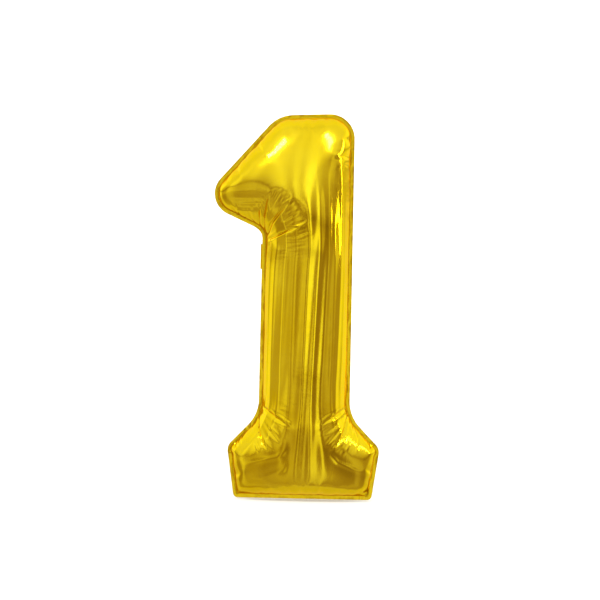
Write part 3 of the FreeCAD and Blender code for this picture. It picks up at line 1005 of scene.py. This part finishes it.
def tail_point(along, across, out):
    """From the tail's own lengths to the frame: along it, up it, and out of its ply."""
    angle = math.pi - TAIL_FOLD
    ahead = np.array([math.cos(angle), math.sin(angle), 0.0])
    outwards = np.array([math.sin(TAIL_FOLD), math.cos(TAIL_FOLD), 0.0])
    root = np.array([tail_axis_x, 0.0, NECK_HEIGHT])
    return root + np.outer(along, ahead) + np.outer(out, outwards) + np.outer(across, [0, 0, 1])


def tail_wave(along, across):
    """How the whole tail ripples out of its plane, alike for all its layers."""
    wave = 0.9 * np.sin(along / 11.0 + 0.6) * np.cos(across / 13.0)
    wave += 0.45 * np.sin(across / 4.7 + along / 16.0)
    wave += 1.3 * (along / TAIL_LENGTH) ** 2 * np.cos(across / 18.0 + 0.5)
    return wave * ramp(along, 3.0, 22.0)


def build_tail_layer(name, middle, thickness, grow, slot_name, material, *nodes):
    """One ply or film of the tail, with the ribbon's hole through it."""
    root, end, length = TAIL_ROOT_HALF + grow, TAIL_END_HALF + grow, TAIL_LENGTH + grow
    corners = [(TAIL_START, -root, TAIL_ROOT_CORNER), (TAIL_START, root, TAIL_ROOT_CORNER)]
    corners += [(length, end, TAIL_CORNER), (length, -end, TAIL_CORNER)]
    loop = rounded_outline(corners, TAIL_MESH)
    angles = -np.arange(HOLE_SIDES) * 2 * math.pi / HOLE_SIDES
    hole = HOLE_RADIUS * np.stack([np.cos(angles), np.sin(angles)], 1)
    hole[:, 0] += TAIL_LENGTH - HOLE_FROM_END
    flat, faces = flat_mesh(loop, TAIL_MESH, hole)
    wave = tail_wave(flat[:, 0], flat[:, 1])
    points = tail_point(flat[:, 0], flat[:, 1], wave + middle)
    normals = vertex_normals(points, faces)
    vertices, faces = thickened(points, normals, faces, thickness)
    return finished(new_object(name, vertices, faces), "tail", slot_name, material, *nodes)


def build_tail_weld(name, sign, material, *nodes):
    """The fused edge of the tail, between its plies."""
    along = np.linspace(TAIL_START, TAIL_LENGTH - TAIL_WELD - TAIL_WELD_SHORT, TAIL_WELD_POINTS)
    outer = TAIL_ROOT_HALF + (TAIL_END_HALF - TAIL_ROOT_HALF) * along / TAIL_LENGTH
    corner = np.clip(along - (TAIL_LENGTH - TAIL_CORNER), 0, None)
    outer = outer - (TAIL_CORNER - np.sqrt(TAIL_CORNER**2 - corner**2))
    rows = []
    for share, out in ((1.0, -1), (0.0, -1), (0.0, 1), (1.0, 1)):
        across = sign * (outer - TAIL_WELD * (1 - share) - TAIL_WELD_INSET)
        rows.append(tail_point(along, across, tail_wave(along, across) + out * TAIL_WELD_HALF))
    vertices = np.concatenate(rows)
    faces = tube_faces(TAIL_WELD_POINTS, len(rows))
    if sign < 0:
        faces = [f[::-1] for f in faces]
    return finished(new_object(name, vertices, faces), "tail", "weld_film", material, *nodes)


# -------- materials

def fill_ramp(node, stops):
    elements = node.color_ramp.elements
    while len(elements) < len(stops):
        elements.new(0.5)
    for element, (position, colour) in zip(elements, stops):
        element.position = position
        element.color = (*colour, 1.0)


def set_inputs(node, **values):
    """Sets a node's inputs by name, with _ for a space."""
    for name, value in values.items():
        node.inputs[name.replace("_", " ")].default_value = value


class Nodes:
    """A material's node tree, with short ways to add what these materials need."""

    def __init__(self, name):
        self.material = bpy.data.materials.new(name)
        self.material.use_nodes = True
        self.tree = self.material.node_tree
        self.shader = self.tree.nodes["Principled BSDF"]
        self.place = self.add("ShaderNodeTexCoord").outputs["Object"]

    def add(self, kind):
        return self.tree.nodes.new(kind)

    def link(self, out, into):
        self.tree.links.new(out, into)

    def stretched(self, x, y, z):
        mapping = self.add("ShaderNodeMapping")
        set_inputs(mapping, Scale=(x, y, z))
        self.link(self.place, mapping.inputs["Vector"])
        return mapping.outputs["Vector"]

    def noise(self, scale, detail=2.0, roughness=0.5, distortion=0.0, place=None):
        node = self.add("ShaderNodeTexNoise")
        set_inputs(node, Scale=scale, Detail=detail, Roughness=roughness, Distortion=distortion)
        self.link(place or self.place, node.inputs["Vector"])
        return node.outputs["Fac"]

    def colours(self, factor, *stops):
        """The surface's colour, blended between stops of a place from 0 to 1 and a colour."""
        node = self.add("ShaderNodeValToRGB")
        fill_ramp(node, stops)
        self.link(factor, node.inputs["Fac"])
        self.link(node.outputs["Color"], self.shader.inputs["Base Color"])

    def ranged(self, factor, low, high, into):
        """One of the shader's numbers, varied from low to high by a noise."""
        node = self.add("ShaderNodeMapRange")
        set_inputs(node, From_Min=0.3, From_Max=0.7, To_Min=low, To_Max=high)
        self.link(factor, node.inputs["Value"])
        self.link(node.outputs["Result"], self.shader.inputs[into])

    def bumps(self, *layers):
        """Each layer is a height between 0 and 1, its depth in metres, and its strength."""
        before = None
        for height, depth, strength in layers:
            node = self.add("ShaderNodeBump")
            set_inputs(node, Distance=depth, Strength=strength)
            self.link(height, node.inputs["Height"])
            if before is not None:
                self.link(before, node.inputs["Normal"])
            before = node.outputs["Normal"]
        self.link(before, self.shader.inputs["Normal"])

    def set(self, **values):
        set_inputs(self.shader, **values)
        return self.material


def gold_material():
    nodes = Nodes("gold_foil_material")
    cloud = nodes.noise(7.0, 3.0, 0.6)
    nodes.colours(cloud, (0.35, GOLD_DEEP), (0.65, GOLD_BRIGHT))
    nodes.ranged(nodes.noise(45.0, 3.0, 0.6), 0.09, 0.17, "Roughness")
    streaks = nodes.noise(90.0, 3.0, 0.6, 0.3, nodes.stretched(1.0, 1.0, 0.12))
    crinkle = nodes.noise(240.0, 3.0, 0.65, 0.4)
    grain = nodes.noise(1400.0, 2.0, 0.6)
    nodes.bumps((streaks, 0.0008, 0.16), (crinkle, 0.0003, 0.2), (grain, 0.00004, 0.25))
    return nodes.set(Metallic=1.0, Specular_Tint=(1.0, 0.74, 0.16, 1.0), Coat_Weight=0.1, Coat_Roughness=0.05)


def weld_material():
    nodes = Nodes("weld_film_material")
    nodes.colours(nodes.noise(60.0, 3.0), (0.35, (0.62, 0.40, 0.05)), (0.65, (0.80, 0.58, 0.12)))
    nodes.ranged(nodes.noise(300.0, 2.0), 0.25, 0.4, "Roughness")
    nodes.bumps((nodes.noise(900.0, 2.0), 0.0001, 0.4))
    return nodes.set(Metallic=0.6, Coat_Weight=0.3, Coat_Roughness=0.15)


def film_material():
    nodes = Nodes("valve_film_material")
    nodes.colours(nodes.noise(25.0, 3.0), (0.35, (0.80, 0.82, 0.84)), (0.65, (0.93, 0.94, 0.95)))
    nodes.ranged(nodes.noise(120.0, 3.0), 0.12, 0.28, "Roughness")
    nodes.bumps((nodes.noise(260.0, 3.0, 0.6, 0.4), 0.0002, 0.4))
    return nodes.set(Transmission_Weight=0.85, IOR=1.3, Coat_Weight=0.2, Coat_Roughness=0.1)


def ink_material():
    nodes = Nodes("release_ink_material")
    nodes.colours(nodes.noise(400.0, 3.0, 0.7), (0.3, (0.72, 0.72, 0.69)), (0.7, (0.90, 0.90, 0.87)))
    nodes.ranged(nodes.noise(700.0, 2.0), 0.65, 0.85, "Roughness")
    nodes.bumps((nodes.noise(1500.0, 2.0), 0.00005, 0.4))
    return nodes.set(Metallic=0.0)


gold = gold_material()
weld = weld_material()
film = film_material()
ink = ink_material()

balloon = Balloon()
tail_axis_x = balloon.edge_x - TAIL_AXIS
front_foil = build_foil(balloon, "front_foil", -1, gold, "front_foil_panel")
build_foil(balloon, "back_foil", 1, gold, "back_foil_panel")
build_weld(balloon, weld)

trees = (tree_of(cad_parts["front_foil_panel"]), tree_of(front_foil))
for node, body, slot_name, material, reach in (
    ("valve_front_film", "balloon", "valve_film", film, FILM_REACH),
    ("valve_neck_film", "balloon", "valve_film", film, FILM_REACH),
    ("valve_side_welds", "balloon", "valve_film", film, FILM_REACH),
    ("valve_flap_film", "valve_flap", "valve_film", film, FLAP_REACH),
    ("valve_tack_welds", "balloon", "weld_film", weld, FILM_REACH),
    ("valve_ink_lane", "balloon", "release_ink", ink, FILM_REACH),
):
    piece = fitted_copy(node + "_fitted", node, trees, balloon.edge_x + MARGIN, reach)
    finished(piece, body, slot_name, material, node)

build_tail_layer("tail_front_film", -PLY_MIDDLE, PLY, 0.0, "gold_foil", gold, "tail_front_ply")
build_tail_layer("tail_back_film", PLY_MIDDLE, PLY, 0.0, "gold_foil", gold, "tail_back_ply")
in_tail = ("valve_film", film, "tail_valve_films")
build_tail_layer("tail_valve_film_a", -TAIL_FILM_MIDDLE, TAIL_FILM, -TAIL_WELD, *in_tail)
build_tail_layer("tail_valve_film_b", TAIL_FILM_MIDDLE, TAIL_FILM, -TAIL_WELD, *in_tail)
build_tail_weld("tail_weld_low", -1, weld, "tail_edge_welds")
build_tail_weld("tail_weld_high", 1, weld, "tail_edge_welds")

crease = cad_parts["tail_crease"]
crease.data.materials.clear()
crease.data.materials.append(gold)

# -------- floor, light and camera

def floor_material():
    nodes = Nodes("studio_floor_material")
    darker = tuple(c * FLOOR_DARKER for c in FLOOR_GREY)
    nodes.colours(nodes.noise(3.0, 2.0), (0.3, darker), (0.7, FLOOR_GREY))
    nodes.set(Emission_Color=(1.0, 1.0, 1.0, 1.0), Emission_Strength=FLOOR_GLOW)
    return nodes.set(Roughness=0.6)


def build_floor():
    """A round pale floor that curves up into a wall all round."""
    profile = [(STAGE_STEP * (k + 1), 0.0) for k in range(STAGE_RINGS)]
    for k in range(BEND_STEPS + 1):
        angle = k * math.pi / 2 / BEND_STEPS
        profile.append((STAGE_FLAT + STAGE_BEND * math.sin(angle), STAGE_BEND * (1 - math.cos(angle))))
    profile.append((STAGE_FLAT + STAGE_BEND, STAGE_TOP))
    base = cad_low[2] - STAGE_DROP
    turns = [2 * math.pi * k / STAGE_SIDES for k in range(STAGE_SIDES)]
    vertices = [(r * math.cos(t), r * math.sin(t), z + base) for r, z in profile for t in turns]
    faces = [tuple(range(STAGE_SIDES))]
    for ring in range(len(profile) - 1):
        for k in range(STAGE_SIDES):
            a, b = ring * STAGE_SIDES + k, ring * STAGE_SIDES + (k + 1) % STAGE_SIDES
            faces.append((a, a + STAGE_SIDES, b + STAGE_SIDES, b))
    mesh = bpy.data.meshes.new("studio_floor")
    mesh.from_pydata(vertices, [], faces)
    mesh.shade_smooth()
    mesh.materials.append(floor_material())
    floor = placed("studio_floor", mesh)
    floor.visible_glossy = False  # the foil mirrors only the room


def softbox(name, place, aim, width, height, power, turn, mirrored):
    """An even rectangular light."""
    light = bpy.data.lights.new(name, "AREA")
    light.shape = "RECTANGLE"
    light.size = width
    light.size_y = height
    light.energy = power
    lamp = placed(name, light)
    lamp.location = place
    facing = (Vector(aim) - Vector(place)).to_track_quat("-Z", "Y")
    lamp.rotation_euler = (facing @ Quaternion((0, 0, 1), math.radians(turn))).to_euler()
    lamp.visible_glossy = mirrored


def shade_ramp(tree, factor, stops, low, high):
    """A ramp of greys or colours over the range from low to high."""
    node = tree.nodes.new("ShaderNodeValToRGB")
    places = [(place - low) / (high - low) for place, _ in stops]
    tones = [tone if isinstance(tone, tuple) else (tone,) * 3 for _, tone in stops]
    fill_ramp(node, list(zip(places, tones)))
    span = tree.nodes.new("ShaderNodeMapRange")
    set_inputs(span, From_Min=low, From_Max=high)
    tree.links.new(factor, span.inputs["Value"])
    tree.links.new(span.outputs["Result"], node.inputs["Fac"])
    return node.outputs["Color"]


def build_world():
    """A soft room round the balloon: brighter above, with upright bands of light and shade at eye level."""
    world = bpy.data.worlds.new("studio_world")
    bpy.context.scene.world = world
    world.use_nodes = True
    tree = world.node_tree

    def maths(operation, one, other):
        node = tree.nodes.new("ShaderNodeMath")
        node.operation = operation
        for socket, value in zip(node.inputs, (one, other)):
            if isinstance(value, (int, float)):
                socket.default_value = value
            else:
                tree.links.new(value, socket)
        return node.outputs[0]

    background = tree.nodes["Background"]
    split = tree.nodes.new("ShaderNodeSeparateXYZ")
    tree.links.new(tree.nodes.new("ShaderNodeTexCoord").outputs["Generated"], split.inputs["Vector"])
    x, y, z = split.outputs
    direction = maths("MULTIPLY", maths("ARCTAN2", x, maths("MULTIPLY", y, -1.0)), 180 / math.pi)
    bands = shade_ramp(tree, direction, ROOM_BANDS, -180.0, 180.0)
    share = maths("MULTIPLY", maths("SUBTRACT", bands, 1.0), shade_ramp(tree, z, BAND_FADE, -1.0, 1.0))
    brightness = maths("MULTIPLY", maths("ADD", share, 1.0), shade_ramp(tree, z, ROOM_SHADES, -1.0, 1.0))
    tree.links.new(shade_ramp(tree, brightness, ROOM_TINTS, 0.0, 1.1), background.inputs["Color"])
    tree.links.new(brightness, background.inputs["Strength"])


build_floor()
build_world()
for name, settings in LIGHTS.items():
    softbox(name, *settings)

camera_data = bpy.data.cameras.new("camera")
camera_data.sensor_width = SENSOR_MM
camera_data.lens = SENSOR_MM * CAMERA_DISTANCE / FRAME_WIDTH
camera = placed("camera", camera_data)
camera.location = VIEW_CENTRE + Vector((0.0, -CAMERA_DISTANCE, 0.0))
camera.rotation_euler = (math.radians(90), -LEAN, 0.0)
bpy.context.scene.camera = camera
bpy.context.scene.view_settings.view_transform = "Standard"
